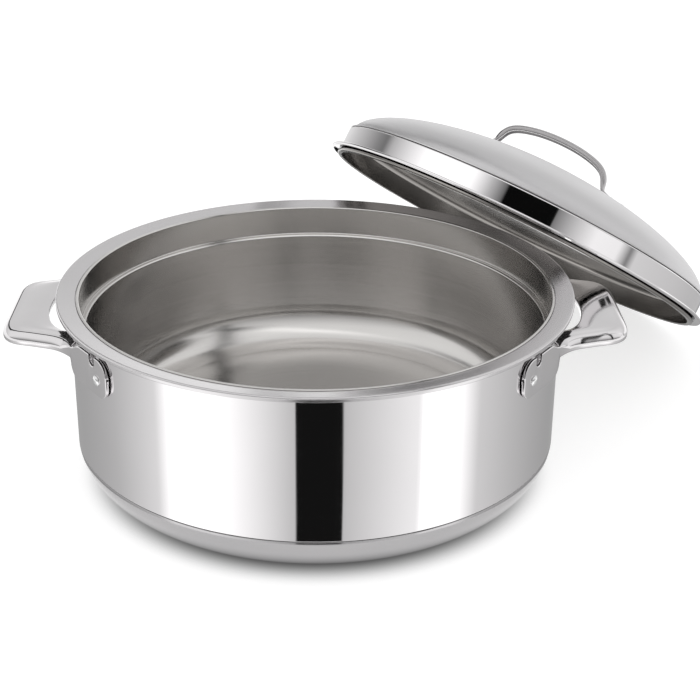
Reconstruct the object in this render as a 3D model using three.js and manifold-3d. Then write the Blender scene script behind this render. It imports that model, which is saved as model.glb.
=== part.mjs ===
import * as THREE from "three";
import { mergeVertices } from "three/addons/utils/BufferGeometryUtils.js";
import Module from "manifold-3d";

// Insulated stainless steel serving casserole with a lift-off lid, in millimetres, +Z up.
// The origin is the centre of the flat bottom, on the surface that the casserole stands on.
// The two side handles are on the X axis, and the lid stands beside and behind the pot, tilted.

// Fineness of the turned and bent shapes
const turnSegments = 48;
const cornerSteps = 5;
const rivetSegments = 12;

// Overall sizes
const bodyRadius = 132.6;
const rimHeight = 107;
const collarOverhang = 7.1; // of the collar's edge past the wall
const skin = 1; // steel sheet of the turned pieces
const fitGap = 0.3; // between pieces that touch
const overrun = 3; // how far a cut runs past the wall
const weldDistance = 0.0005;

// Base cup
const seamHeight = 24.6;
const baseUpright = 1.3; // from the end of the rounded corner to the seam
const baseCornerReach = 26;
const baseCornerPower = 1.75;
const spigotHeight = 6;

// Collar ring: its top slopes down towards the mouth and its outer edge is turned down
const collarFall = 1.7;
const collarNeck = 7;
const neckGap = 1.9; // between the wall and the collar's neck
const curlDepth = 2.8;
const curlRound = 0.9;

// Inner liner
const lipReach = 1.8;
const linerStepDepth = 17;
const linerStepWidth = 3;
const floorInsulation = 18.3; // thickness of the insulation under the liner
const linerCorner = 22;

// Side handles, pressed from sheet
const handleSheet = 1.8;
const handleReach = 34.4; // from the wall to the outer face
const handleDrop = 13; // from the rim to the top of the plate
const skirtDepth = 6.6;
const handleShoulder = 4.6;
const flatHalfWidth = 18;
const cornerReach = 15;
const plateHalfWidth = 38;
const neckHalfWidth = 41;
const neckReach = 7.4;
const outlineBulge = 1.8; // how far the bends of the plan swell past its straight runs
const fingerReach = 11.9;
const fingerHalfWidth = 34;
const fingerCorner = 12;

// Ears that carry the side handles
const earAzimuth = THREE.MathUtils.degToRad(35.2);
const earRun = 28; // from the rivet to the handle
const earTail = 10; // from the rivet to the free edge
const earRise = 12; // above the rivet
const earDrop = 8.6; // below the rivet
const earLowCorner = 3;
const earTopCorner = 9;
const notchNear = 1.5; // from the rivet to the relief notch
const notchFar = 7.5;
const notchDepth = 5.5;
const rivetDrop = 21.4; // from the rim to the rivet

// Rivets and their backing pieces
const shankRadius = 1.5;
const holeRadius = 1.85;
const headRadius = 2.5;
const headHeight = 1.3;
const tailRadius = 2.4;
const tailHeight = 0.9;
const washerRadius = 4.6;
const washerSheet = 1.2;

// Lid, from the plane in which its flange rests on the pot
const flangeReach = 4.1; // past the mouth, over the liner's lip
const flangeBead = 2;
const lidPlay = 0.8; // between the lid's skirt and the mouth
const skirtStep = 2.2;
const hemReach = 3.1; // of the hem from the lid's inner wall
const lidHollow = 13;
const lidCorner = 3;
const bandGap = 0.5; // between the band and the lid's inner wall
const bandHeight = 15;
const bandLip = 5;
const domeRise = 34.7;
const domeInset = 1.7;
const domePower = 1.8;
const domeSteps = 6;

// Lid handle: an arched strap, pressed hollow below, with a foot pad at each end
const strapWidth = 12.5;
const strapDepth = 4.2;
const strapWall = 1.3;
const strapClear = 17; // from the dome's top to the strap
const strapSteps = 28;
const strapTaperShare = 0.2; // of the strap's length, from the pad to its full depth
const padSheet = 1.8;
const padInner = 40;
const padOuter = 59;
const padRivetSpacing = 8;
const padPlateLength = 17;
const padPlateWidth = 12;
const padPlatePlay = 0.6; // between the curved dome and the flat backing plate
const strapRound = 0.6;

// Places of the strap's middle line from the pad to the top, as shares of the pad's inner
// distance and of the height from the pad to the top
const strapReachShares = [1.08, 0.98, 0.925, 0.88, 0.79, 0.62, 0.34];
const strapRiseShares = [-0.03, 0.07, 0.33, 0.53, 0.71, 0.85, 0.96];

// Where the lid stands when it is off the pot
const lidAzimuth = THREE.MathUtils.degToRad(37.5);
const lidTilt = THREE.MathUtils.degToRad(34.2);
const lidSpin = THREE.MathUtils.degToRad(-55);
const lidPlaceShares = [0.487, 0.6096]; // along X and Y, of the pot's and the flange's radii together
const floorGap = 0.3;

const wasm = await Module();
wasm.setup();

const polishedSteel = new THREE.MeshStandardMaterial({ color: 0xd4d5d8, roughness: 0.1, metalness: 1 });
const satinSteel = new THREE.MeshStandardMaterial({ color: 0xc6c5c6, roughness: 0.34, metalness: 1 });
const linerSteel = new THREE.MeshStandardMaterial({ color: 0xbdbcbc, roughness: 0.28, metalness: 1 });
const pressedSteel = new THREE.MeshStandardMaterial({ color: 0xcfcfd1, roughness: 0.16, metalness: 1 });
const rivetSteel = new THREE.MeshStandardMaterial({ color: 0xd9d9da, roughness: 0.2, metalness: 1 });
const insulation = new THREE.MeshStandardMaterial({ color: 0xe6dcb8, roughness: 0.9, metalness: 0 });

// A closed mesh as a solid that can be joined and cut
function solidOf(geometry) {
  const plain = geometry.clone();
  plain.deleteAttribute("normal");
  plain.deleteAttribute("uv");
  const merged = mergeVertices(plain, weldDistance);
  const vertProperties = merged.attributes.position.array;
  const triVerts = new Uint32Array(merged.index.array);
  return new wasm.Manifold(new wasm.Mesh({ numProp: 3, vertProperties, triVerts }));
}

function geometryOf(solid) {
  const mesh = solid.getMesh();
  const geometry = new THREE.BufferGeometry();
  geometry.setAttribute("position", new THREE.BufferAttribute(mesh.vertProperties, 3));
  geometry.setIndex(new THREE.BufferAttribute(mesh.triVerts, 1));
  geometry.computeVertexNormals();
  return geometry;
}

function piece(name, geometry, material) {
  const mesh = new THREE.Mesh(geometry, material);
  mesh.name = name;
  return mesh;
}

// A section of radius and height, lower side first, turned round the Z axis
function turned(section, segments = turnSegments) {
  const points = section.map(([radius, height]) => new THREE.Vector2(radius, height));
  return new THREE.LatheGeometry(points, segments).rotateX(Math.PI / 2);
}

// Points of a rounded corner between two ends, from flat (share 0) to upright (share 1)
function corner(steps, power, place) {
  const points = [];
  for (let i = 1; i <= steps; i += 1) {
    const angle = (Math.PI / 2) * (i / steps);
    points.push(place(Math.sin(angle) ** (2 / power), Math.cos(angle) ** (2 / power)));
  }
  return points;
}

const round = 2; // power of a corner that is a true arc
const chamferSteps = 2;

// Radii of the nested walls at the mouth, from the outside in
const collarRadius = bodyRadius + collarOverhang;
const shellInner = bodyRadius - skin;
const collarNeckOuter = shellInner - neckGap;
const collarNeckInner = collarNeckOuter - skin;
const linerNeckOuter = collarNeckInner - fitGap;
const mouthRadius = linerNeckOuter - skin;
const linerRadius = mouthRadius - linerStepWidth;

// Radii of the lid, which follow the mouth
const flangeRadius = mouthRadius + flangeReach;
const hemRadius = mouthRadius - lidPlay;
const lidOpeningRadius = hemRadius - hemReach;
const bandRadius = lidOpeningRadius + skin + bandGap + skin;

// Heights at the mouth
const collarInnerTop = rimHeight - collarFall;
const collarSlope = collarFall / (collarRadius - collarNeckInner);
const collarTopAt = (radius) => collarInnerTop + collarSlope * (radius - collarNeckInner);
const neckBottom = collarInnerTop - collarNeck;
const lipRadius = mouthRadius + lipReach;
const lipBottom = collarTopAt(lipRadius) + fitGap;
const lipTop = lipBottom + skin;
const ledgeHeight = lipTop - linerStepDepth;
const linerFloor = skin + fitGap + floorInsulation + fitGap + skin;

const baseCornerHeight = seamHeight - baseUpright;

// Base cup: a flat bottom, a full rounded corner and a stepped-in edge inside the wall
function baseCup() {
  const flatRadius = bodyRadius - baseCornerReach;
  const edgeOuter = shellInner - fitGap;
  const edgeInner = edgeOuter - skin;
  const outerCorner = corner(cornerSteps, baseCornerPower, (out, up) => [
    flatRadius + baseCornerReach * out,
    baseCornerHeight * (1 - up),
  ]);
  const innerCorner = corner(cornerSteps, baseCornerPower, (out, up) => [
    Math.min(flatRadius + (baseCornerReach - skin) * out, edgeInner),
    skin + (baseCornerHeight - skin) * (1 - up),
  ]).reverse();
  return turned([
    [0, 0],
    [flatRadius, 0],
    ...outerCorner,
    [bodyRadius, seamHeight],
    [edgeOuter, seamHeight],
    [edgeOuter, seamHeight + spigotHeight],
    [edgeInner, seamHeight + spigotHeight],
    ...innerCorner,
    [flatRadius, skin],
    [0, skin],
  ]);
}

// Frame of a rivet in the wall: local X points out of the pot
function wallFrame(azimuth, radius) {
  const turn = new THREE.Matrix4().makeRotationZ(azimuth);
  const shift = new THREE.Matrix4().makeTranslation(radius, 0, rimHeight - rivetDrop);
  return turn.multiply(shift);
}

// A round bar along local X from one distance to another
function bar(radius, from, to) {
  const geometry = new THREE.CylinderGeometry(radius, radius, to - from, rivetSegments);
  return geometry.rotateZ(-Math.PI / 2).translate((from + to) / 2, 0, 0);
}

const earAzimuths = [earAzimuth, -earAzimuth, Math.PI - earAzimuth, Math.PI + earAzimuth];
const earFace = bodyRadius + fitGap;
const facetShare = Math.cos(Math.PI / turnSegments);

function outerShell() {
  const wall = turned([
    [shellInner, seamHeight + fitGap],
    [bodyRadius, seamHeight + fitGap],
    [bodyRadius, collarTopAt(bodyRadius) - skin - fitGap],
    [shellInner, collarTopAt(shellInner) - skin - fitGap],
    [shellInner, seamHeight + fitGap],
  ]);
  let solid = solidOf(wall);
  for (const azimuth of earAzimuths) {
    const hole = bar(holeRadius, -skin - overrun, overrun).applyMatrix4(wallFrame(azimuth, bodyRadius));
    solid = solid.subtract(solidOf(hole));
  }
  return geometryOf(solid);
}

function rimCollar() {
  const edgeBottom = rimHeight - curlDepth;
  const edgeInner = collarRadius - skin;
  const edgeRound = corner(chamferSteps, round, (over, side) => [
    collarRadius - curlRound * (1 - side),
    rimHeight - curlRound * (1 - over),
  ]);
  return turned([
    [collarNeckInner, neckBottom],
    [collarNeckOuter, neckBottom],
    [collarNeckOuter, collarTopAt(collarNeckOuter) - skin],
    [edgeInner, collarTopAt(edgeInner) - skin],
    [edgeInner, edgeBottom],
    [collarRadius, edgeBottom],
    [collarRadius, rimHeight - curlRound],
    ...edgeRound,
    [collarNeckInner, collarInnerTop],
    [collarNeckInner, neckBottom],
  ]);
}

// Section of the liner's outer side, moved outwards by a clearance
function linerOuterSide(clearance) {
  const radius = linerRadius + skin + clearance;
  const reach = linerCorner + clearance;
  const bottom = linerFloor - skin - clearance;
  const cornerPoints = corner(cornerSteps, round, (out, up) => [
    radius - reach * (1 - out),
    bottom + reach * (1 - up),
  ]);
  return [
    [0, bottom],
    [radius - reach, bottom],
    ...cornerPoints,
    [radius, ledgeHeight - skin - clearance],
  ];
}

function innerLiner() {
  const innerCorner = corner(cornerSteps, round, (out, up) => [
    linerRadius - (linerCorner - skin) * (1 - out),
    linerFloor + (linerCorner - skin) * (1 - up),
  ]).reverse();
  return turned([
    ...linerOuterSide(0),
    [linerNeckOuter, ledgeHeight - skin],
    [linerNeckOuter, lipBottom],
    [lipRadius, lipBottom],
    [lipRadius, lipTop - skin / 2],
    [lipRadius - skin / 2, lipTop],
    [mouthRadius + skin / 2, lipTop],
    [mouthRadius, lipTop - skin / 2],
    [mouthRadius, ledgeHeight],
    [linerRadius, ledgeHeight],
    ...innerCorner,
    [linerRadius - linerCorner + skin, linerFloor],
    [0, linerFloor],
  ]);
}

// Insulation between the liner and the outside, with a pocket round the back of each rivet
function bodyFoam() {
  const flatRadius = bodyRadius - baseCornerReach;
  const lowRadius = shellInner - fitGap - skin - fitGap;
  const bottom = skin + fitGap;
  const lowCorner = corner(cornerSteps, baseCornerPower, (out, up) => [
    Math.min(flatRadius + (baseCornerReach - bottom) * out, lowRadius),
    bottom + (baseCornerHeight - bottom) * (1 - up),
  ]);
  const foamTop = ledgeHeight - skin - fitGap;
  const section = [
    [0, bottom],
    [flatRadius, bottom],
    ...lowCorner,
    [lowRadius, seamHeight + spigotHeight + fitGap],
    [shellInner - fitGap, seamHeight + spigotHeight + fitGap],
    [shellInner - fitGap, foamTop],
    ...linerOuterSide(fitGap).reverse(),
  ];
  let solid = solidOf(turned(section));
  const pocketDepth = skin + washerSheet + tailHeight + overrun;
  for (const azimuth of earAzimuths) {
    const pocket = bar(washerRadius + fitGap, -pocketDepth, overrun);
    solid = solid.subtract(solidOf(pocket.applyMatrix4(wallFrame(azimuth, bodyRadius))));
  }
  return geometryOf(solid);
}

// Plan of one side handle from the wall to its outer face, for the handle on the +X side
function handleOutline() {
  const outer = bodyRadius + handleReach;
  const earX = earFace * Math.cos(earAzimuth) + earRun * Math.sin(earAzimuth);
  const earY = earFace * Math.sin(earAzimuth) - earRun * Math.cos(earAzimuth);
  const rootX = earX + handleSheet * Math.cos(earAzimuth);
  const rootY = earY + handleSheet * Math.sin(earAzimuth);
  const neckX = bodyRadius + neckReach;
  const cornerX = outer - cornerReach;
  const bendX = (neckX + rootX) / 2;
  const shape = new THREE.Shape();
  const insideX = earX - earRun / 2;
  shape.moveTo(insideX, -rootY);
  shape.lineTo(rootX, -rootY);
  shape.quadraticCurveTo(bendX, -neckHalfWidth - outlineBulge, neckX, -neckHalfWidth);
  shape.lineTo(cornerX, -plateHalfWidth);
  shape.quadraticCurveTo(outer, -plateHalfWidth + outlineBulge, outer, -flatHalfWidth);
  shape.lineTo(outer, flatHalfWidth);
  shape.quadraticCurveTo(outer, plateHalfWidth - outlineBulge, cornerX, plateHalfWidth);
  shape.lineTo(neckX, neckHalfWidth);
  shape.quadraticCurveTo(bendX, neckHalfWidth + outlineBulge, rootX, rootY);
  shape.lineTo(insideX, rootY);
  shape.closePath();
  return shape;
}

// The handle's plan as a block with a rounded top edge, drawn in by an inset
function handleBlock(inset, top, bottom) {
  const shoulder = handleShoulder - inset;
  const geometry = new THREE.ExtrudeGeometry(handleOutline(), {
    depth: top - bottom - shoulder * 2,
    bevelThickness: shoulder,
    bevelSize: shoulder,
    bevelOffset: -shoulder - inset,
    bevelSegments: chamferSteps,
    curveSegments: cornerSteps,
  });
  return solidOf(geometry.translate(0, 0, bottom + shoulder));
}

// The opening for the fingers, from inside the wall to the plate
function fingerShape() {
  const inner = earFace * Math.cos(earAzimuth);
  const outer = bodyRadius + fingerReach;
  const shape = new THREE.Shape();
  shape.moveTo(inner, -fingerHalfWidth);
  shape.lineTo(outer - fingerCorner, -fingerHalfWidth);
  shape.absarc(outer - fingerCorner, fingerCorner - fingerHalfWidth, fingerCorner, -Math.PI / 2, 0);
  shape.lineTo(outer, fingerHalfWidth - fingerCorner);
  shape.absarc(outer - fingerCorner, fingerHalfWidth - fingerCorner, fingerCorner, 0, Math.PI / 2);
  shape.lineTo(inner, fingerHalfWidth);
  shape.closePath();
  return shape;
}

// Flat ear beside the wall: shape X runs from the rivet towards the handle, and a notch
// relieves the bend between the ear and the handle's plate
function earSolid(side) {
  const run = earRun + handleSheet * 2; // its end lies within the skirt
  const skirtBottom = rivetDrop - handleDrop - skirtDepth;
  const notchBottom = earRise - notchDepth;
  const notchMiddle = (notchNear + notchFar) / 2;
  const shape = new THREE.Shape();
  shape.moveTo(notchNear, earRise);
  shape.lineTo(earTopCorner - earTail, earRise);
  shape.quadraticCurveTo(-earTail, earRise, -earTail, earRise - earTopCorner);
  shape.lineTo(-earTail, -earDrop + earLowCorner);
  shape.quadraticCurveTo(-earTail, -earDrop, -earTail + earLowCorner, -earDrop);
  shape.lineTo(earRun - earLowCorner, -earDrop);
  shape.quadraticCurveTo(earRun, -earDrop, earRun, -earDrop + earLowCorner);
  shape.lineTo(earRun, skirtBottom);
  shape.lineTo(run, skirtBottom);
  shape.lineTo(run, rivetDrop - handleDrop - handleShoulder / 2);
  shape.lineTo(earRun, rivetDrop - handleDrop);
  shape.lineTo((earRun + notchFar) / 2, earRise);
  shape.lineTo(notchFar, earRise);
  shape.quadraticCurveTo(notchFar, notchBottom, notchMiddle, notchBottom);
  shape.quadraticCurveTo(notchNear, notchBottom, notchNear, earRise);
  const geometry = new THREE.ExtrudeGeometry(shape, {
    depth: handleSheet,
    bevelEnabled: false,
    curveSegments: cornerSteps,
  });
  // Shape X becomes the tangent towards the X axis, shape Y becomes up, and depth points outwards
  const placed = new THREE.Matrix4().makeBasis(
    new THREE.Vector3(0, -side, 0),
    new THREE.Vector3(0, 0, 1),
    new THREE.Vector3(1, 0, 0),
  );
  geometry.applyMatrix4(placed);
  geometry.applyMatrix4(wallFrame(side * earAzimuth, earFace));
  let solid = solidOf(side > 0 ? turnedFaces(geometry) : geometry);
  const hole = bar(holeRadius, -overrun, handleSheet + overrun);
  solid = solid.subtract(solidOf(hole.applyMatrix4(wallFrame(side * earAzimuth, earFace))));
  return solid;
}

// A mirrored geometry with its faces turned back outwards
function turnedFaces(geometry) {
  const flat = geometry.index ? geometry.toNonIndexed() : geometry;
  const position = flat.attributes.position;
  for (let i = 0; i < position.count; i += 3) {
    const first = new THREE.Vector3().fromBufferAttribute(position, i);
    const second = new THREE.Vector3().fromBufferAttribute(position, i + 1);
    position.setXYZ(i, second.x, second.y, second.z);
    position.setXYZ(i + 1, first.x, first.y, first.z);
  }
  return flat;
}

// Side handle: plate and skirt from one sheet, with an ear bent along the wall at each end
function sideHandle() {
  const top = rimHeight - handleDrop;
  const bottom = top - skirtDepth;
  const blockBottom = bottom - handleShoulder * 2;
  let solid = handleBlock(0, top, blockBottom);
  solid = solid.subtract(handleBlock(handleSheet, top - handleSheet, blockBottom - overrun));
  const low = new THREE.BoxGeometry(bodyRadius * 2, bodyRadius * 2, bottom);
  low.translate(bodyRadius, 0, bottom / 2);
  solid = solid.subtract(solidOf(low));
  const finger = new THREE.ExtrudeGeometry(fingerShape(), {
    depth: skirtDepth + overrun,
    bevelEnabled: false,
    curveSegments: cornerSteps,
  });
  solid = solid.subtract(solidOf(finger.translate(0, 0, bottom)));
  solid = solid.add(earSolid(1)).add(earSolid(-1));
  const wall = turned([
    [0, -overrun],
    [earFace, -overrun],
    [earFace, rimHeight + overrun],
    [0, rimHeight + overrun],
  ]);
  return geometryOf(solid.subtract(solidOf(wall)));
}

// A rivet along +Z: its head lies on the plane of zero height and its tail is upset below
function rivetGeometry(grip) {
  return turned(
    [
      [0, -grip - fitGap - tailHeight],
      [tailRadius, -grip - fitGap - tailHeight],
      [tailRadius, -grip - fitGap],
      [shankRadius, -grip - fitGap],
      [shankRadius, fitGap],
      [headRadius, fitGap],
      ...corner(chamferSteps, round, (over, side) => [
        headRadius * side,
        fitGap + headHeight * over,
      ]),
    ],
    rivetSegments,
  );
}

function ring(inner, outer, height) {
  return turned(
    [
      [inner, 0],
      [outer, 0],
      [outer, height],
      [inner, height],
      [inner, 0],
    ],
    rivetSegments,
  );
}

// Lid liner: the ceiling, the straight wall and the hem that drops into the mouth
function lidLiner() {
  const wallOuter = lidOpeningRadius + skin;
  const under = corner(chamferSteps, round, (out, up) => [
    lidOpeningRadius - lidCorner * (1 - out),
    lidHollow - lidCorner * (1 - up),
  ]);
  const over = corner(chamferSteps, round, (out, up) => [
    wallOuter - (lidCorner + skin) * (1 - out),
    lidHollow + skin - (lidCorner + skin) * (1 - up),
  ]).reverse();
  return turned([
    [0, lidHollow],
    [lidOpeningRadius - lidCorner, lidHollow],
    ...under,
    [lidOpeningRadius, -skirtStep],
    [hemRadius, -skirtStep],
    [hemRadius, -fitGap],
    [wallOuter, -fitGap],
    ...over,
    [wallOuter - lidCorner - skin, lidHollow + skin],
    [0, lidHollow + skin],
  ]);
}

// Lid band: the mirror wall with the beaded flange below and a lip under the dome
function lidBand() {
  const inner = bandRadius - skin;
  const half = flangeBead / 2;
  return turned([
    [inner, 0],
    [flangeRadius - half / 2, 0],
    [flangeRadius, half / 2],
    [flangeRadius, flangeBead - half / 2],
    [flangeRadius - half / 2, flangeBead],
    [flangeRadius - flangeBead, flangeBead],
    [flangeRadius - flangeBead - half, skin],
    [bandRadius, skin],
    [bandRadius, bandHeight - skin / 2],
    [bandRadius - skin / 2, bandHeight],
    [inner - bandLip, bandHeight],
    [inner - bandLip, bandHeight - skin],
    [inner, bandHeight - skin],
    [inner, 0],
  ]);
}

const domeBase = bandHeight + fitGap;
const domeEdge = bandRadius - fitGap;
const domeRadius = domeEdge - domeInset;
const domeTop = domeBase + domeRise;

// Section of the dome, from its edge to its top, moved inwards by an amount
function domeSection(inset) {
  return corner(domeSteps, domePower, (up, out) => [
    (domeRadius - inset) * out,
    domeBase + (domeRise - inset) * up,
  ]);
}

function domeHeightAt(radius) {
  return domeBase + domeRise * (1 - (radius / domeRadius) ** domePower) ** (1 / domePower);
}

// Frame of a foot pad: origin on the dome, local X along the pad away from the top
function padFrame(side) {
  const fall = Math.atan2(domeHeightAt(padInner) - domeHeightAt(padOuter), padOuter - padInner);
  const middle = (padInner + padOuter) / 2;
  const height = (domeHeightAt(padInner) + domeHeightAt(padOuter)) / 2 + fitGap;
  const place = new THREE.Matrix4().makeTranslation(side * middle, 0, height);
  return place.multiply(new THREE.Matrix4().makeRotationY(side * fall));
}

// Frames of the four rivets that hold the lid handle
const padRivetFrames = [];
for (const side of [-1, 1]) {
  for (const along of [-padRivetSpacing / 2, padRivetSpacing / 2]) {
    const shift = new THREE.Matrix4().makeTranslation(along, 0, 0);
    padRivetFrames.push(padFrame(side).multiply(shift));
  }
}

function padHole(frame) {
  const reach = padSheet + skin + washerSheet + overrun;
  const hole = bar(holeRadius, -reach, reach).rotateY(-Math.PI / 2);
  return solidOf(hole.applyMatrix4(frame));
}

function lidDome() {
  const edgeInner = domeEdge - domeInset;
  let solid = solidOf(
    turned([
      ...domeSection(skin).reverse(),
      [edgeInner - skin, domeBase],
      [domeEdge, domeBase],
      [domeEdge, domeBase + skin],
      ...domeSection(0),
    ]),
  );
  for (const frame of padRivetFrames) {
    solid = solid.subtract(padHole(frame));
  }
  return geometryOf(solid);
}

// Backing plate under the dome, behind one foot pad
function backingPlate(side) {
  const plate = new THREE.BoxGeometry(padPlateLength, padPlateWidth, washerSheet);
  plate.translate(0, 0, -skin - fitGap - padPlatePlay - washerSheet / 2);
  let solid = solidOf(plate.applyMatrix4(padFrame(side)));
  for (const frame of padRivetFrames) {
    solid = solid.subtract(padHole(frame));
  }
  return geometryOf(solid);
}

// Insulation of the lid, with a pocket round each backing plate
function lidFoam() {
  const bottom = lidHollow + skin + fitGap;
  const lipInner = bandRadius - skin - bandLip - fitGap;
  const under = domeSection(skin + fitGap);
  const top = under.filter(([radius]) => radius < lipInner);
  let solid = solidOf(turned([[0, bottom], [lipInner, bottom], ...top]));
  for (const side of [-1, 1]) {
    const depth = (skin + washerSheet + tailHeight + overrun) * 2;
    const pocket = new THREE.BoxGeometry(
      padPlateLength + fitGap * 2,
      padPlateWidth + fitGap * 2,
      depth,
    );
    solid = solid.subtract(solidOf(pocket.applyMatrix4(padFrame(side))));
  }
  return geometryOf(solid);
}

// Side view of the strap between two offsets from its middle line, from one pad to the other
function strapOutline(line, upper, lower) {
  const above = [];
  const below = [];
  for (let i = 0; i <= strapSteps; i += 1) {
    const place = line.getPoint(i / strapSteps);
    const along = line.getTangent(i / strapSteps);
    const across = new THREE.Vector2(-along.y, along.x);
    above.push(place.clone().addScaledVector(across, upper(i)));
    below.push(place.clone().addScaledVector(across, -lower(i)));
  }
  return new THREE.Shape([...below, ...above.reverse()]);
}

function lidHandle() {
  const topHeight = domeTop + strapClear + strapDepth / 2;
  const footHeight = domeHeightAt(padInner) + fitGap + padSheet / 2;
  const half = [];
  for (let i = 0; i < strapReachShares.length; i += 1) {
    const rise = (topHeight - footHeight) * strapRiseShares[i];
    half.push(new THREE.Vector2(padInner * strapReachShares[i], footHeight + rise));
  }
  const left = half.map((point) => new THREE.Vector2(-point.x, point.y));
  const right = half.slice().reverse();
  const line = new THREE.SplineCurve([...left, new THREE.Vector2(0, topHeight), ...right]);
  const depthAt = (i) => {
    const toEnd = Math.min(i, strapSteps - i) / strapSteps;
    const share = Math.min(toEnd / strapTaperShare, 1);
    return (padSheet + (strapDepth - padSheet) * share) / 2;
  };
  const solidStrap = new THREE.ExtrudeGeometry(strapOutline(line, depthAt, depthAt), {
    depth: strapWidth - strapRound * 2,
    bevelThickness: strapRound,
    bevelSize: strapRound,
    bevelOffset: -strapRound,
    bevelSegments: 1,
  });
  const hollow = new THREE.ExtrudeGeometry(
    strapOutline(
      line,
      (i) => depthAt(i) - strapWall,
      (i) => depthAt(i) + overrun,
    ),
    { depth: strapWidth - strapWall * 2, bevelEnabled: false },
  );
  // The side view is drawn in X and height, so it is stood up with its depth along Y
  solidStrap.translate(0, 0, strapRound - strapWidth / 2).rotateX(Math.PI / 2);
  hollow.translate(0, 0, strapWall - strapWidth / 2).rotateX(Math.PI / 2);
  let solid = solidOf(solidStrap).subtract(solidOf(hollow));
  for (const side of [-1, 1]) {
    const pad = new THREE.BoxGeometry(padOuter - padInner + strapDepth, strapWidth, padSheet);
    pad.translate((-side * strapDepth) / 2, 0, padSheet / 2);
    solid = solid.add(solidOf(pad.applyMatrix4(padFrame(side))));
  }
  for (const frame of padRivetFrames) {
    solid = solid.subtract(padHole(frame));
  }
  return geometryOf(solid);
}

// Pot
const casserole = new THREE.Group();
casserole.add(piece("base_cup", baseCup(), satinSteel));
casserole.add(piece("outer_shell", outerShell(), polishedSteel));
casserole.add(piece("rim_collar", rimCollar(), satinSteel));
casserole.add(piece("inner_liner", innerLiner(), linerSteel));
casserole.add(piece("body_foam", bodyFoam(), insulation));

const rightHandle = piece("right_handle", sideHandle(), pressedSteel);
const leftHandle = piece("left_handle", rightHandle.geometry, pressedSteel);
leftHandle.rotation.z = Math.PI;
casserole.add(rightHandle, leftHandle);

// Rivets of the side handles, with a backing washer behind the wall
const earNames = ["right_rear", "right_front", "left_rear", "left_front"];
const washerFace = shellInner * facetShare - fitGap;
const earGrip = earFace + handleSheet - (washerFace - washerSheet);
earNames.forEach((name, i) => {
  const upright = Math.PI / 2;
  const rivet = rivetGeometry(earGrip).rotateY(upright);
  rivet.applyMatrix4(wallFrame(earAzimuths[i], earFace + handleSheet));
  casserole.add(piece(name + "_rivet", rivet, rivetSteel));
  const washer = ring(holeRadius, washerRadius, washerSheet).rotateY(upright);
  washer.applyMatrix4(wallFrame(earAzimuths[i], washerFace - washerSheet));
  casserole.add(piece(name + "_washer", washer, rivetSteel));
});

// Lid, built on its flange plane and then stood beside the pot on its lowest edge
const lid = new THREE.Group();
lid.add(piece("lid_dome", lidDome(), satinSteel));
lid.add(piece("lid_band", lidBand(), polishedSteel));
lid.add(piece("lid_liner", lidLiner(), linerSteel));
lid.add(piece("lid_foam", lidFoam(), insulation));
lid.add(piece("lid_handle", lidHandle(), pressedSteel));
lid.add(piece("lid_left_backing_plate", backingPlate(-1), rivetSteel));
lid.add(piece("lid_right_backing_plate", backingPlate(1), rivetSteel));

const padGrip = padSheet + skin + fitGap + padPlatePlay + washerSheet;
const padRivetNames = ["left_outer", "left_inner", "right_inner", "right_outer"];
padRivetNames.forEach((name, i) => {
  const rivet = rivetGeometry(padGrip).translate(0, 0, padSheet);
  lid.add(piece("lid_" + name + "_rivet", rivet.applyMatrix4(padRivetFrames[i]), rivetSteel));
});

lid.rotation.z = lidSpin;
const stand = new THREE.Group();
stand.rotation.set(0, lidTilt, lidAzimuth, "ZYX");
const reachOfBoth = bodyRadius + flangeRadius;
stand.position.set(
  reachOfBoth * lidPlaceShares[0],
  reachOfBoth * lidPlaceShares[1],
  flangeRadius * Math.sin(lidTilt) + floorGap,
);
stand.add(lid);
casserole.add(stand);

export default casserole;
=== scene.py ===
from math import atan2, cos, pi, radians, sin, sqrt, tan
import bpy
from mathutils import Matrix, Vector


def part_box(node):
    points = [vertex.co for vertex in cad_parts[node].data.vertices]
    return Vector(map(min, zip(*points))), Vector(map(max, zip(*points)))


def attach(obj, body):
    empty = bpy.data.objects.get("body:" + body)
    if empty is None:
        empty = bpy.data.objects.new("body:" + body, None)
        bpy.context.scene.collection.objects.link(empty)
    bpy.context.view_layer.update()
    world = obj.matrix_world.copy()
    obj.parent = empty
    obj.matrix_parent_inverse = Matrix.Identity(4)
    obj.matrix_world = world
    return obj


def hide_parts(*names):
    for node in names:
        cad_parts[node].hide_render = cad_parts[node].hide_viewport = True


# Insulated steel serving casserole with its lid standing beside it.
# Sizes in the dictionaries are millimetres and degrees, shares run from 0 to 1.

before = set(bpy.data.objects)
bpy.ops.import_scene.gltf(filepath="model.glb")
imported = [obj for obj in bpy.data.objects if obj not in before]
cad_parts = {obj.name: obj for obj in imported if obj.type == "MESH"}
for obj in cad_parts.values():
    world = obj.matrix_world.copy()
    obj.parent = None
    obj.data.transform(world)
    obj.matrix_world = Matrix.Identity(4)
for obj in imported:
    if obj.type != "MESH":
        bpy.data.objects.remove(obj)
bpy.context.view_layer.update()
mm = 0.001
print("frame loaded,", len(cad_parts), "nodes")


def linked(name, data):
    thing = bpy.data.objects.new(name, data)
    bpy.context.scene.collection.objects.link(thing)
    return thing


def boxOf(node):
    low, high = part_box(node)
    return low / mm, high / mm


# Sizes that the frame gives
shellLow, shellHigh = boxOf("outer_shell")
collarLow, collarHigh = boxOf("rim_collar")
handleHigh = boxOf("right_handle")[1]
wallRadius = shellHigh.x
collarRadius = collarHigh.x
rimHeight = collarHigh.z
skin = 1.0  # steel sheet of the turned pieces
fitGap = 0.3  # between pieces that touch

# Camera at the photograph's viewing angle

cameraValues = {
    "distance": 756.2, "height": 415.4, "pitch": 24.745, "lens": 77.14, "sensor": 36, "shiftX": 0.0497,
}
cameraPitch = radians(cameraValues["pitch"])


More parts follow.
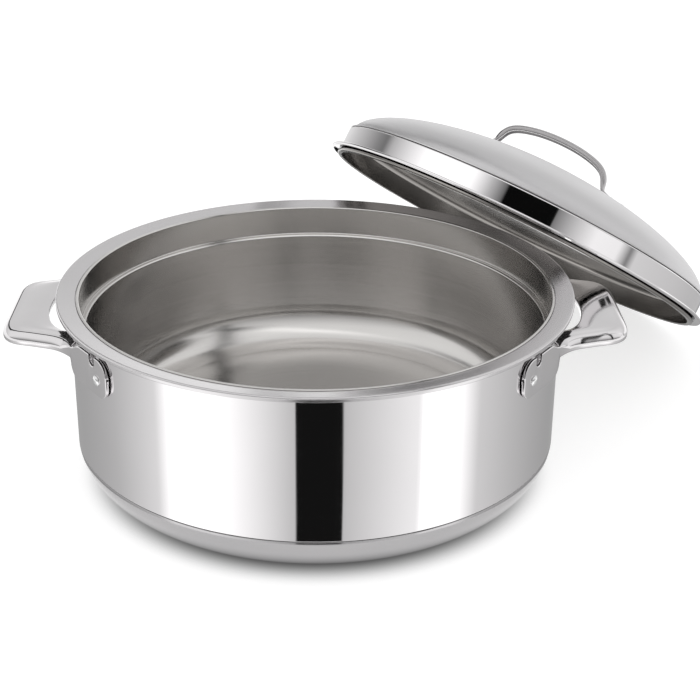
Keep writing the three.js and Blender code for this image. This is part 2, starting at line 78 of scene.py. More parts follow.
def makeCamera(v):
    data = bpy.data.cameras.new("camera")
    data.lens = v["lens"]
    data.sensor_width = v["sensor"]
    data.shift_x = v["shiftX"]
    camera = linked("camera", data)
    camera.location = (0, -v["distance"] * mm, v["height"] * mm)
    camera.rotation_euler = (radians(90 - v["pitch"]), 0, 0)
    bpy.context.scene.camera = camera
    return camera


eye = makeCamera(cameraValues).location / mm

# Where the lid stands: its own frame, with its flange plane at zero height

lidStand = {
    "placeX": 128.62, "placeY": 161.0, "azimuth": 37.5, "tilt": 34.2, "spin": -55,
    "flangeRadius": 131.5, "floorGap": 0.3,
}


def lidMatrix(v):
    tilt = radians(v["tilt"])
    height = v["flangeRadius"] * sin(tilt) + v["floorGap"]
    place = Matrix.Translation((v["placeX"], v["placeY"], height))
    turn = Matrix.Rotation(radians(v["azimuth"]), 4, "Z")
    lean = Matrix.Rotation(tilt, 4, "Y")
    spin = Matrix.Rotation(radians(v["spin"]), 4, "Z")
    return place @ turn @ lean @ spin


potFrame = Matrix.Identity(4)
lidFrame = lidMatrix(lidStand)


# Materials

noiseLow, noiseHigh = 0.3, 0.7  # most of a noise texture lies between them


def linear(hexColor):
    levels = [int(hexColor[i:i + 2], 16) / 255 for i in (1, 3, 5)]
    return [c / 12.92 if c <= 0.04045 else ((c + 0.055) / 1.055) ** 2.4 for c in levels] + [1]


# Gives the function that adds a node to a tree, with its inputs and settings. A node given as an input
# stands for its first output.
def adder(tree):
    def add(kind, inputs=None, **settings):
        node = tree.nodes.new(kind)
        for name, value in settings.items():
            setattr(node, name, value)
        for socket, value in (inputs or {}).items():
            if isinstance(value, bpy.types.Node):
                value = value.outputs[0]
            if isinstance(value, bpy.types.NodeSocket):
                tree.links.new(value, node.inputs[socket])
            else:
                node.inputs[socket].default_value = value
        return node
    return add


def newMaterial(name):
    material = bpy.data.materials.new(name)
    material.use_nodes = True
    material.node_tree.nodes.clear()
    return material, adder(material.node_tree)


def setStops(ramp, stops):
    elements = ramp.color_ramp.elements
    while len(elements) < len(stops):
        elements.new(0.5)
    for element, (position, level) in zip(elements, stops):
        element.position = position
        element.color = [level, level, level, 1]


# Steel with fine lines that run round the axis of its piece's frame, and with faint cloudy patches, and,
# where its values ask for it, painted shade on faces that point down
def steel(name, v, place=potFrame):
    material, add = newMaterial(name)
    coordinates = add("ShaderNodeTexCoord").outputs
    centred = add("ShaderNodeMapping", {
        "Vector": coordinates["Object"], "Location": place.translation * mm, "Rotation": place.to_euler(),
    }, vector_type="TEXTURE")
    flat = add("ShaderNodeVectorMath", {0: centred, 1: (1, 1, 0)}, operation="MULTIPLY")
    radius = add("ShaderNodeVectorMath", {0: flat}, operation="LENGTH").outputs
    parts = add("ShaderNodeSeparateXYZ", {0: centred}).outputs
    ringPlace = add("ShaderNodeCombineXYZ", {"X": radius["Value"], "Z": parts["Z"]})
    lines = add("ShaderNodeTexNoise", {
        "Vector": ringPlace, "Scale": 1 / (v["lineSpacing"] * mm), "Detail": 3.0, "Roughness": 0.6})
    cloud = add("ShaderNodeTexNoise", {
        "Vector": centred, "Scale": 1 / (v["cloudSize"] * mm), "Detail": 2.0})
    roughness = v["roughness"]
    for noise, spread in ((cloud, v["cloudRoughness"]), (lines, v["lineRoughness"])):
        level = add("ShaderNodeMapRange", {
            "Value": noise, "From Min": noiseLow, "From Max": noiseHigh, "To Min": -spread, "To Max": spread})
        roughness = add("ShaderNodeMath", {0: roughness, 1: level}, operation="ADD")
    bump = add("ShaderNodeBump", {
        "Strength": v["lineStrength"], "Distance": v["lineDepth"] * mm, "Height": lines})
    tint = add("ShaderNodeMix", {0: cloud, 6: linear(v["dark"]), 7: linear(v["light"])}, data_type="RGBA")
    # Painted shade: faces that point down are mixed toward a darker colour
    if "paintedUndersideShade" in v:
        facing = add("ShaderNodeSeparateXYZ", {0: coordinates["Normal"]})
        below = add("ShaderNodeMapRange", {
            "Value": facing.outputs["Z"], "From Min": -0.5, "From Max": -0.8})
        tint = add("ShaderNodeMix", {
            0: below, 6: tint.outputs[2], 7: linear(v["paintedUndersideShade"])}, data_type="RGBA")
    shader = add("ShaderNodeBsdfPrincipled", {
        "Base Color": tint.outputs[2], "Metallic": 1.0, "Roughness": roughness, "Normal": bump})
    add("ShaderNodeOutputMaterial", {"Surface": shader})
    return material


def foam(name, v):
    material, add = newMaterial(name)
    coordinates = add("ShaderNodeTexCoord").outputs
    cells = add("ShaderNodeTexVoronoi", {
        "Vector": coordinates["Object"], "Scale": 1 / (v["cellSize"] * mm)}, feature="F1")
    tint = add("ShaderNodeMix", {0: cells, 6: linear(v["light"]), 7: linear(v["dark"])}, data_type="RGBA")
    bump = add("ShaderNodeBump", {
        "Strength": v["cellStrength"], "Distance": v["cellDepth"] * mm, "Height": cells}, invert=True)
    shader = add("ShaderNodeBsdfPrincipled", {
        "Base Color": tint.outputs[2], "Roughness": v["roughness"], "Normal": bump})
    add("ShaderNodeOutputMaterial", {"Surface": shader})
    return material


# What the steels share, unless one of them says otherwise
steelBase = {"lineRoughness": 0.03, "cloudRoughness": 0.02, "lineStrength": 0.06, "lineDepth": 0.05}
# Mirror-polished stainless sheet: clean reflections, with hardly any trace of the buffing
polishedValues = {
    **steelBase, "light": "#e3e1e2", "dark": "#dddbdc", "roughness": 0.045, "lineRoughness": 0.01,
    "cloudRoughness": 0.01, "cloudSize": 45, "lineSpacing": 1.5, "lineStrength": 0.02,
}
# Stainless spun and finished with a fine pad while it turns: soft reflections along its rings
satinValues = {
    **steelBase, "light": "#cecccd", "dark": "#c8c6c7", "roughness": 0.22, "cloudSize": 30,
    "lineSpacing": 0.9, "lineStrength": 0.12,
    "paintedUndersideShade": "#262525",  # painted shade: faces that point down are near-black, so the handle plates below mirror a dark, shadowed side
}
# The lid's dome, rubbed with a coarser pad: even and soft, with no clear reflection
domeValues = {
    **steelBase, "light": "#cac9ca", "dark": "#c5c4c5", "roughness": 0.42, "cloudSize": 30,
    "lineSpacing": 0.9, "lineStrength": 0.1,
}
# The bottom, spun deep, with painted shade: greyer than the wall so that it looks as dark as the shade near
# the floor that it mirrors, and with its reflections softened
shadedBaseValues = {
    **steelBase, "light": "#b3b1b2", "dark": "#abaaab", "roughness": 0.12, "lineRoughness": 0.02,
    "cloudSize": 35, "lineSpacing": 1.2, "lineStrength": 0.05,
}
# The bowl's food-grade stainless, brushed round the inside
linerValues = {
    **steelBase, "light": "#d2d0ce", "dark": "#cac8c6", "roughness": 0.19, "cloudSize": 40,
    "lineSpacing": 2.2,
}
# The lid's inside, of the same sheet, with painted shade: its colour is much darker than the bowl's so that
# the hollow looks shadowed, and it is dark where it faces itself
shadedCeilingValues = {**linerValues, "light": "#94918e", "dark": "#8a8784", "roughness": 0.16}
# Thick stainless sheet, pressed to shape and buffed: a mirror with slightly softened edges
pressedValues = {
    **steelBase, "light": "#dcdadb", "dark": "#d5d3d4", "roughness": 0.08, "lineRoughness": 0.01,
    "cloudSize": 20, "lineSpacing": 2.0, "lineStrength": 0.03,
}
# The lid handle's strap, of the same sheet, coloured a darker grey than the pot's pressed sheet
strapSteelValues = {
    **steelBase, "light": "#b1afb0", "dark": "#a19fa0", "roughness": 0.12, "lineRoughness": 0.02,
    "cloudRoughness": 0.03, "cloudSize": 12, "lineSpacing": 2.0, "lineStrength": 0.04,
}
# Stainless rivet, cold headed and tumbled bright
rivetSteelValues = {
    **steelBase, "light": "#e6e6e6", "dark": "#dcdcdc", "roughness": 0.16, "lineRoughness": 0.01,
    "cloudRoughness": 0.03, "cloudSize": 4, "lineSpacing": 1.0, "lineStrength": 0.02, "lineDepth": 0.03,
}
# Rigid polyurethane foam, poured between the walls: matt cream, with its cells just showing
foamValues = {
    "light": "#f0e9cf", "dark": "#ded3b0", "cellSize": 3.0, "cellDepth": 0.3, "cellStrength": 0.5,
    "roughness": 0.9,
}

polishedSteel = steel("mirror_polished_steel", polishedValues)
polishedLidSteel = steel("mirror_polished_lid_steel", polishedValues, lidFrame)
satinSteel = steel("spun_satin_steel", satinValues)
satinLidSteel = steel("spun_satin_lid_steel", domeValues, lidFrame)
shadedBaseSteel = steel("spun_base_steel", shadedBaseValues)
linerSteel = steel("brushed_liner_steel", linerValues)
shadedLidLinerSteel = steel("shade_darkened_lid_liner_steel", shadedCeilingValues, lidFrame)
pressedSteel = steel("pressed_polished_steel", pressedValues)
strapSteel = steel("pressed_strap_steel", strapSteelValues, lidFrame)
rivetSteel = steel("cold_headed_rivet_steel", rivetSteelValues)
insulationFoam = foam("poured_insulation_foam", foamValues)
print("materials made")


# Making of pieces

def meshObject(name, verts, faces, material):
    mesh = bpy.data.meshes.new(name)
    mesh.from_pydata([v * mm for v in verts], [], faces)
    mesh.materials.append(material)
    return linked(name, mesh)


def claim(piece, body, nodes):
    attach(piece, body)
    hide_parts(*nodes)


def addPiece(name, verts, faces, material, body, nodes):
    piece = meshObject(name, verts, faces, material)
    piece.data.validate()
    piece.data.shade_smooth()
    claim(piece, body, nodes)


def stagePiece(name, verts, faces, material):
    piece = meshObject(name, verts, faces, material)
    return piece


# Faces between closed rows of points that lie one after another, with the first and last row filled
def loftFaces(rows, count):
    faces = []
    for i in range(rows - 1):
        for k in range(count):
            n = (k + 1) % count
            faces.append([i * count + k, i * count + n, (i + 1) * count + n, (i + 1) * count + k])
    faces.append(list(range(count))[::-1])
    faces.append([(rows - 1) * count + k for k in range(count)])
    return faces


# Quarter of a squarish round: the power is 2 for a circle, and more brings it nearer its corner
def corner(steps, power, place):
    points = []
    for i in range(steps + 1):
        turn = pi / 2 * i / steps
        points.append(place(sin(turn) ** (2 / power), cos(turn) ** (2 / power)))
    return points


# Turned pieces: a closed section of radius and height, spun round the axis of its own frame.
# A point of a section with a third number is rounded with that radius.

turning = {
    "steps": 288,
    "arcSteps": 8,
    "axisRadius": 1e-6,  # a point nearer the axis than this lies on it
    "sideShare": 0.48,  # the most that one rounding takes of a side
    "hold": 0.12,  # reach of the short strip beside a rounding, which keeps the side flat
    "holdShare": 0.1,
    "holdLeast": 0.02,
}


def arcPoints(before, point, after, radius):
    toBefore = (before - point).normalized()
    toAfter = (after - point).normalized()
    angle = toBefore.angle(toAfter)
    side = min((before - point).length, (after - point).length)
    reach = min(radius / tan(angle / 2), turning["sideShare"] * side)
    radius = reach * tan(angle / 2)
    centre = point + (toBefore + toAfter).normalized() * (radius / sin(angle / 2))
    first = point + toBefore * reach
    last = point + toAfter * reach
    start = atan2(first.y - centre.y, first.x - centre.x)
    sweep = atan2(last.y - centre.y, last.x - centre.x) - start
    sweep = (sweep + pi) % (2 * pi) - pi
    hold = min(turning["hold"], turning["holdShare"] * reach + turning["holdLeast"])
    points = [first + toBefore * hold]
    for i in range(turning["arcSteps"] + 1):
        turn = start + sweep * i / turning["arcSteps"]
        points.append(centre + radius * Vector((cos(turn), sin(turn))))
    return points + [last + toAfter * hold]


def filleted(section):
    points = [Vector(entry[:2]) for entry in section]
    result = []
    for i, entry in enumerate(section):
        if len(entry) < 3:
            result.append(points[i])
        else:
            result += arcPoints(points[i - 1], points[i], points[(i + 1) % len(points)], entry[2])
    return result


def turnedPiece(name, section, place, material, body, nodes):
    points = filleted(section)
    steps = turning["steps"]
    verts = []
    rings = []
    for p in points:
        if p.x < turning["axisRadius"]:
            rings.append([len(verts)] * steps)
            verts.append(Vector((0, 0, p.y)))
            continue
        rings.append([len(verts) + k for k in range(steps)])
        for k in range(steps):
            turn = 2 * pi * k / steps
            verts.append(Vector((p.x * cos(turn), p.x * sin(turn), p.y)))
    faces = []
    for low, high in zip(rings, rings[1:] + rings[:1]):
        if low[0] == low[1] and high[0] == high[1]:
            continue
        for k in range(steps):
            n = (k + 1) % steps
            faces.append(list(dict.fromkeys([low[k], low[n], high[n], high[k]])))
    area = sum(a.x * b.y - b.x * a.y for a, b in zip(points, points[1:] + points[:1]))
    if area < 0:
        faces = [face[::-1] for face in faces]
    addPiece(name, [place @ v for v in verts], faces, material, body, nodes)


# Pot: base cup, wall, collar and liner

potValues = {
    "baseUpright": 1.3, "baseCornerReach": 26, "baseCornerPower": 1.75, "baseSteps": 28,
    "seamRound": 0.35, "spigotHeight": 6,
    "collarFall": 1.7, "neckGap": 1.9, "neckRound": 0.6,
    "curlDepth": 2.8, "curlRound": 0.9, "curlInnerRound": 0.4, "curlEdgeRounds": (0.3, 0.5),
    "joggle": 0.7, "joggleLean": 0.05, "joggleRounds": (0.15, 0.05),
    "lipReach": 1.8, "lipLift": 0.1, "lipRounds": (0.2, 0.3, 0.5, 0.8),
    "linerStepDepth": 17, "linerStepWidth": 3, "linerStepRounds": (0.5, 1.4),
    "linerCorner": 22, "linerFloor": 20.9,
}
seamHeight = shellLow.z - fitGap
shellInner = wallRadius - skin
neckOuter = shellInner - potValues["neckGap"]
neckInner = neckOuter - skin
linerNeckOuter = neckInner - fitGap
mouthRadius = linerNeckOuter - skin
lipRadius = mouthRadius + potValues["lipReach"]


def collarTopAt(radius):
    fall = potValues["collarFall"]
    return rimHeight - fall + fall * (radius - neckInner) / (collarRadius - neckInner)


def makeBaseCup(v):
    flat = wallRadius - v["baseCornerReach"]
    outer = shellInner - fitGap
    inner = outer - skin
    rise = seamHeight - v["baseUpright"]
    outside = corner(v["baseSteps"], v["baseCornerPower"], lambda out, up: (
        flat + v["baseCornerReach"] * out, rise * (1 - up)))
    inside = corner(v["baseSteps"], v["baseCornerPower"], lambda out, up: (
        min(flat + (v["baseCornerReach"] - skin) * out, inner), skin + (rise - skin) * (1 - up)))
    section = [(0, 0)] + outside + [(wallRadius, seamHeight, v["seamRound"]), (outer, seamHeight)]
    section += [(outer, seamHeight + v["spigotHeight"]), (inner, seamHeight + v["spigotHeight"])]
    section += inside[::-1] + [(0, skin)]
    turnedPiece("base_cup_spun", section, potFrame, shadedBaseSteel, "pot", ["base_cup"])


def makeShell(v):
    top = collarTopAt(shellInner) - skin - fitGap
    section = [
        (shellInner, shellLow.z), (wallRadius, shellLow.z, v["seamRound"]),
        (wallRadius, top, v["seamRound"]), (shellInner, top),
    ]
    turnedPiece("outer_wall", section, potFrame, polishedSteel, "pot", ["outer_shell"])


def makeCollar(v):
    edge = rimHeight - v["curlDepth"]
    joggleTop = collarTopAt(neckInner)
    joggleLow = joggleTop - v["joggle"]
    section = [
        (neckInner, collarLow.z), (neckOuter, collarLow.z),
        (neckOuter, collarTopAt(neckOuter) - skin, v["neckRound"]),
        (collarRadius - skin, collarTopAt(collarRadius) - skin, v["curlInnerRound"]),
        (collarRadius - skin, edge, v["curlEdgeRounds"][0]),
        (collarRadius, edge, v["curlEdgeRounds"][1]),
        (collarRadius, rimHeight, v["curlRound"]),
        (lipRadius + fitGap + v["joggleLean"], joggleTop, v["joggleRounds"][0]),
        (lipRadius + fitGap, joggleLow, v["joggleRounds"][1]),
        (neckInner, joggleLow),
    ]
    turnedPiece("rim_collar_spun", section, potFrame, satinSteel, "pot", ["rim_collar"])


def makeLiner(v):
    radius = mouthRadius - v["linerStepWidth"]
    lipBottom = collarTopAt(neckInner) - v["joggle"] + v["lipLift"]
    lipTop = lipBottom + skin
    ledge = lipTop - v["linerStepDepth"]
    floor = v["linerFloor"]
    reach = v["linerCorner"]
    tight, wide = v["linerStepRounds"]
    under, edgeLow, edgeHigh, inside = v["lipRounds"]
    section = [
        (0, floor - skin), (radius + skin, floor - skin, reach), (radius + skin, ledge - skin, tight),
        (linerNeckOuter, ledge - skin, wide), (linerNeckOuter, lipBottom, under),
        (lipRadius, lipBottom, edgeLow), (lipRadius, lipTop, edgeHigh), (mouthRadius, lipTop, inside),
        (mouthRadius, ledge, tight), (radius, ledge, wide), (radius, floor, reach - skin), (0, floor),
    ]
    turnedPiece("bowl_liner", section, potFrame, linerSteel, "pot", ["inner_liner"])


makeBaseCup(potValues)
makeShell(potValues)
makeCollar(potValues)
makeLiner(potValues)
print("pot made")


# Lid: dome, band with its beaded flange, and liner

lidValues = {
    "lidPlay": 0.8, "skirtStep": 2.2, "hemReach": 3.1, "hemRounds": (0.4, 0.9, 0.3, 0.6),
    "hollow": 13, "corner": 3,
    "bandGap": 0.5, "bandHeight": 15, "bandLip": 5, "bandRound": 0.9,
    "bead": 2.0, "beadInsets": (0.5, 0.4, 0.7), "beadRounds": (0.3, 0.8, 0.6), "flangeRounds": (0.5, 1.2),
    "domeRise": 34.7, "domeInset": 1.7, "domePower": 1.8, "domeSteps": 40,
    "domeSeam": 0.02, "domeSeamRounds": (0.2, 0.4, 0.3),
}
hemRadius = mouthRadius - lidValues["lidPlay"]
openingRadius = hemRadius - lidValues["hemReach"]
bandRadius = openingRadius + skin * 2 + lidValues["bandGap"]
flangeRadius = lidStand["flangeRadius"]
domeBase = lidValues["bandHeight"] + fitGap
domeEdge = bandRadius - fitGap
domeRadius = domeEdge - lidValues["domeInset"]
domeTop = domeBase + lidValues["domeRise"]


def domeHeightAt(radius, v=lidValues):
    return domeBase + v["domeRise"] * (1 - (radius / domeRadius) ** v["domePower"]) ** (1 / v["domePower"])


def makeDome(v):
    def curve(inset):
        return corner(v["domeSteps"], v["domePower"], lambda up, out: (
            (domeRadius - inset) * out, domeBase + (v["domeRise"] - inset) * up))
    low, high, seam = v["domeSeamRounds"]
    section = curve(skin)[::-1] + [(domeEdge, domeBase, low), (domeEdge, domeBase + skin, high)]
    section.append((domeRadius + v["domeSeam"], domeBase + skin, seam))
    section += [point for point in curve(0) if point[1] > domeBase + skin + seam]
    turnedPiece("lid_dome_spun", section, lidFrame, satinLidSteel, "lid", ["lid_dome"])


def makeBand(v):
    inner = bandRadius - skin
    bead = v["bead"]
    top = v["bandHeight"]
    below, above, beside = v["beadInsets"]
    low, middle, high = v["beadRounds"]
    outer, wide = v["flangeRounds"]
    section = [
        (inner, 0), (flangeRadius - below, 0, low), (flangeRadius, bead / 2, middle),
        (flangeRadius - above, bead, high), (flangeRadius - bead, bead, high),
        (flangeRadius - bead - beside, skin, outer), (bandRadius, skin, wide),
        (bandRadius, top, v["bandRound"]), (inner - v["bandLip"], top),
        (inner - v["bandLip"], top - skin), (inner, top - skin),
    ]
    turnedPiece("lid_band_rolled", section, lidFrame, polishedLidSteel, "lid", ["lid_band"])


def makeLidLiner(v):
    outer = openingRadius + skin
    hollow = v["hollow"]
    inside, edge, ledge, bend = v["hemRounds"]
    section = [
        (0, hollow), (openingRadius, hollow, v["corner"]), (openingRadius, -v["skirtStep"], inside),
        (hemRadius, -v["skirtStep"], edge), (hemRadius, -fitGap, ledge), (outer, -fitGap, bend),
        (outer, hollow + skin, v["corner"] + skin), (0, hollow + skin),
    ]
    turnedPiece("lid_liner_spun", section, lidFrame, shadedLidLinerSteel, "lid", ["lid_liner"])


makeDome(lidValues)
makeBand(lidValues)
makeLidLiner(lidValues)
print("lid made")


# Side handles: one pressed sheet each, swept from ear to ear

handleValues = {
    "sheet": 1.8, "drop": 13, "skirt": 6.6, "shoulder": 4.6, "pastTop": 6, "crown": 0.5, "crownReach": 12,
    "cornerReach": 15, "flatHalf": 20, "plateHalf": 39.5, "neckHalf": 43.5, "neckReach": 7.4, "bulge": 1.8,
    "fingerReach": 11.9, "fingerHalf": 34, "fingerPower": 2.1, "fingerSteps": 40, "fingerStep": 0.4,
    "fingerLip": 3.2, "fingerAhead": 1,
    "earAzimuth": 35.2, "earRun": 28, "earTail": 10, "earRise": 12, "earDrop": 8.6, "earStep": 0.75,
    "earLowCorner": 7.5, "earTopCorner": 9, "earTaper": 0.5, "earTaperShare": 0.55,
    "notchPlace": 4.5, "notchHalf": 3, "notchDepth": 5.5, "notchEdge": 0.01, "rivetDrop": 21.4,
    "rootBlend": 9, "rootStart": 0.05, "planStep": 0.8, "smoothing": 16,
    "edgeRound": 0.6, "leastRound": 0.05, "leastWidth": 0.3,
    "edgeSteps": 5, "insideSteps": 8, "acrossSteps": 10, "shoulderSteps": 12,
}


def eased(share):
    share = min(max(share, 0), 1)
    return share * share * (3 - 2 * share)


# How far along a path each of its points lies
def distances(points):
    result = [0]
    for a, b in zip(points, points[1:]):
        result.append(result[-1] + (b - a).length)
    return result


# Points at even steps along a path, with a number of steps that the multiple divides
def resample(points, step, multiple=1):
    lengths = distances(points)
    count = multiple * max(2, round(lengths[-1] / step / multiple))
    result = []
    k = 0
    for i in range(count + 1):
        want = lengths[-1] * i / count
        while k < len(points) - 2 and lengths[k + 1] < want:
            k += 1
        span = lengths[k + 1] - lengths[k]
        share = (want - lengths[k]) / span if span else 0
        result.append(points[k].lerp(points[k + 1], min(max(share, 0), 1)))
    return result


def smoothed(points, passes):
    for _ in range(passes):
        between = [(a + b * 2 + c) / 4 for a, b, c in zip(points, points[1:], points[2:])]
        points = [points[0]] + between + [points[-1]]
    return points


def bend(a, b, c, steps=12):
    return [a.lerp(b, t).lerp(b.lerp(c, t), t) for t in (i / steps for i in range(1, steps + 1))]


# Place on the ear, which lies flat beside the wall: how far it is toward the neck, and how far out
def earPoint(v, along, out):
    turn = radians(v["earAzimuth"])
    radius = wallRadius + fitGap + out
    x = radius * cos(turn) + along * sin(turn)
    return Vector((x, radius * sin(turn) - along * cos(turn)))


def halfPlan(v):
    root = earPoint(v, v["earRun"], v["sheet"])
    outer = handleHigh.x
    neck = Vector((wallRadius + v["neckReach"], v["neckHalf"]))
    turnStart = Vector((outer - v["cornerReach"], v["plateHalf"]))
    points = [earPoint(v, v["earRun"] / 2, v["sheet"]), root]
    points += bend(root, Vector(((neck.x + root.x) / 2, v["neckHalf"] + v["bulge"])), neck)
    points += [turnStart]
    points += bend(turnStart, Vector((outer, v["plateHalf"] - v["bulge"])), Vector((outer, v["flatHalf"])))
    mirrored = [Vector((p.x, -p.y)) for p in points[::-1]]
    whole = smoothed(resample(points + mirrored, v["planStep"], multiple=2), v["smoothing"])
    return whole[:len(whole) // 2 + 1]


def fingerPath(v):
    half = v["fingerHalf"]
    start = sqrt((wallRadius + fitGap) ** 2 - half ** 2)
    depth = wallRadius + v["fingerReach"] - start
    arch = corner(v["fingerSteps"], v["fingerPower"], lambda out, along: (start + depth * out, half * along))
    return resample([Vector(p) for p in arch], v["fingerStep"])


# How much a round corner takes off, this far along from where it starts
def cornerLoss(along, radius):
    if along >= radius:
        return 0
    return radius * (1 - sqrt(max(0, 1 - (1 - along / radius) ** 2)))


def earEdges(v, s):
    level = rimHeight - v["rivetDrop"]
    plateTop = rimHeight - v["drop"]
    tail = s + v["earTail"]
    low = level - v["earDrop"]
    low += cornerLoss(tail, v["earLowCorner"]) + cornerLoss(v["earRun"] - s, v["earLowCorner"])
    top = level + v["earRise"] - cornerLoss(tail, v["earTopCorner"])
    half = v["notchHalf"]
    away = abs(s - v["notchPlace"])
    slopeStart = (v["earRun"] + v["notchPlace"] + half) / 2
    top += (plateTop - top) * eased((s - slopeStart) / (v["earRun"] - slopeStart))
    if away < half:
        top -= v["notchDepth"] - half + sqrt(half ** 2 - away ** 2)
    return low, top


# Where the ear's sections lie: at even steps, and closer together at its corners and its notch
def earStations(v):
    tail = -v["earTail"]
    count = int((v["earRun"] - tail) / v["earStep"])
    places = {round(tail + i * v["earStep"], 3) for i in range(count)}
    steps = v["insideSteps"]
    corners = ((tail, v["earTopCorner"]), (tail, v["earLowCorner"]), (v["earRun"], -v["earLowCorner"]))
    for start, reach in corners:
        for i in range(steps + 1):
            places.add(round(start + reach * (1 - cos(pi / 2 * i / steps)), 3))
    middle = v["notchPlace"]
    half = v["notchHalf"]
    steps = v["shoulderSteps"]
    for i in range(steps + 1):
        places.add(round(middle + half * cos(pi * i / steps), 3))
    places |= {middle - half - v["notchEdge"], middle + half + v["notchEdge"]}
    return sorted(places)


# Each station has its place, its outward direction, its lower and upper edge, how thick it is, how far
# it has grown from an ear to the plate, and where its inner edge is held
def halfSections(v):
    sections = []
    sheet = v["sheet"]
    turn = radians(v["earAzimuth"])
    out = Vector((cos(turn), sin(turn)))
    plateTop = rimHeight - v["drop"]
    inner = wallRadius + fitGap
    for s in earStations(v):
        low, top = earEdges(v, s)
        thick = 1 - v["earTaperShare"] * cornerLoss(s + v["earTail"], v["earTaper"]) / v["earTaper"]
        sections.append((earPoint(v, s, sheet), out, low, top, thick, 0, earPoint(v, s, 0)))
    plan = halfPlan(v)
    last = len(plan) - 1
    root = earPoint(v, v["earRun"], sheet)
    ahead = Vector((sin(turn), -cos(turn)))
    start = next(i for i, p in enumerate(plan) if (p - root).dot(ahead) > v["rootStart"])
    finger = fingerPath(v)
    fingerStart = next(i for i in range(start, last) if plan[i].y < v["neckHalf"] + v["fingerAhead"])
    fingerTurn = atan2(finger[0].y, finger[0].x)
    ear = earPoint(v, v["earRun"], 0)
    earTurn = atan2(ear.y, ear.x)
    for i in range(start, last + 1):
        along = (plan[min(i + 1, last)] - plan[i - 1]).normalized()
        normal = Vector((-along.y, along.x)) if i < last else Vector((1, 0))
        if i < fingerStart:
            angle = earTurn + (fingerTurn - earTurn) * (i - start) / (fingerStart - start)
            hold = Vector((inner * cos(angle), inner * sin(angle)))
        else:
            share = (i - fingerStart) / (last - fingerStart)
            hold = finger[round(share * (len(finger) - 1))]
        grow = min(1, (i - start) * v["planStep"] / v["rootBlend"])
        hold = (plan[i] - normal * sheet).lerp(hold, eased(grow * 2))
        sections.append((plan[i], normal, plateTop - v["skirt"], plateTop, 1, grow, hold))
    return sections


def sectionLoop(v, station):
    place, out, low, top, thick, grow, hold = station
    sheet = v["sheet"]
    middle = place - out * sheet / 2
    face = middle + out * sheet / 2 * thick
    back = middle - out * sheet / 2 * thick
    width = (face - hold).length
    edge = v["edgeRound"]
    tip = edge * thick
    shoulder = tip + (v["shoulder"] - edge) * grow
    shoulder = min(shoulder, max(width - edge, tip))
    inside = max(shoulder - sheet, v["leastRound"])
    past = radians(v["pastTop"]) * grow
    quarter = pi / 2
    loop = []

    def arc(centre, way, height, radius, first, last, count):
        for i in range(count + 1):
            turn = first + (last - first) * i / count
            p = centre + way * radius * cos(turn)
            loop.append(Vector((p.x, p.y, height + radius * sin(turn))))

    def across(a, b, level):
        for i in range(1, v["acrossSteps"]):
            share = i / v["acrossSteps"]
            p = a.lerp(b, share)
            lift = v["crown"] * sin(pi * share) * min(1, (b - a).length / v["crownReach"])
            loop.append(Vector((p.x, p.y, level + lift)))

    arc(face - out * tip, out, low + edge, tip, -quarter, 0, v["edgeSteps"])
    arc(face - out * shoulder, out, top - shoulder, shoulder, 0, quarter + past, v["shoulderSteps"])
    crease = face - out * shoulder * (1 + sin(past))
    sunk = top - shoulder * (1 - cos(past))
    inward = (hold - crease).normalized() if (hold - crease).length > v["leastWidth"] else -out
    lip = hold - inward * tip
    deep = sheet + v["leastRound"] + (v["fingerLip"] - sheet) * grow
    across(crease, lip, sunk)
    arc(lip, inward, sunk - tip, tip, quarter, 0, v["edgeSteps"])
    arc(lip, inward, sunk - deep + tip, tip, 0, -quarter, v["edgeSteps"])
    innerEnd = hold - inward * min(sheet, max(width - sheet, v["leastRound"]))
    innerStart = back - out * inside
    loop.append(Vector((innerEnd.x, innerEnd.y, sunk - deep)))
    across(innerEnd, innerStart, sunk - sheet)
    arc(innerStart, out, sunk - sheet - inside, inside, quarter, 0, v["insideSteps"])
    arc(back + out * tip, out, low + edge, tip, pi, 3 * quarter, v["edgeSteps"])
    return loop


def makeSideHandle(name, node, turn, v):
    half = [sectionLoop(v, station) for station in halfSections(v)]
    loops = half + [[Vector((p.x, -p.y, p.z)) for p in loop] for loop in half[-2::-1]]
    verts = [turn @ p for loop in loops for p in loop]
    faces = loftFaces(len(loops), len(loops[0]))
    addPiece(name, verts, faces, pressedSteel, "pot", [node])


halfTurn = Matrix.Rotation(pi, 4, "Z")
makeSideHandle("right_side_handle", "right_handle", potFrame, handleValues)
makeSideHandle("left_side_handle", "left_handle", halfTurn, handleValues)
print("side handles made")


# Lid handle: an arched strap, pressed hollow below with flared edges, and a foot pad at each end.
# A curve here lists how far in from an edge and how far up from a face each of its points lies.

strapValues = {
    "width": 12.5, "depth": 4.2, "sheet": 1.8, "wall": 1.1, "clear": 17,
    "flare": 1.7, "flareHeight": 1.2, "archFoot": 0.2, "archSteps": 14,
    "edgeCurve": [(0.4, 0), (0.1, 0.15), (0, 0.5)],
    "flareCurve": [(0, -0.5), (0.15, -0.12), (0.6, 0)],
    "valleyCurve": [(-0.5, -0.1), (-0.15, 0.1)],
    "padInner": 40, "padOuter": 59, "padTip": 5.5, "padTipShare": 0.12, "padWiden": 1,
    "padPointGap": 2, "padPoints": 8, "rivetSpacing": 8,
    "reachShares": [0.98, 0.925, 0.88, 0.79, 0.62, 0.34],
    "riseShares": [0.07, 0.33, 0.53, 0.71, 0.85, 0.96],
    "morphStart": 17, "morphReach": 12, "curveSteps": 8, "step": 0.8, "smoothing": 8,
}


def padFall(v):
    fall = domeHeightAt(v["padInner"]) - domeHeightAt(v["padOuter"])
    return atan2(fall, v["padOuter"] - v["padInner"])


def padPoint(v, reach, lift):
    fall = padFall(v)
    height = domeHeightAt(v["padInner"]) - (reach - v["padInner"]) * tan(fall) + fitGap
    return Vector((reach + lift * sin(fall), height + lift * cos(fall)))


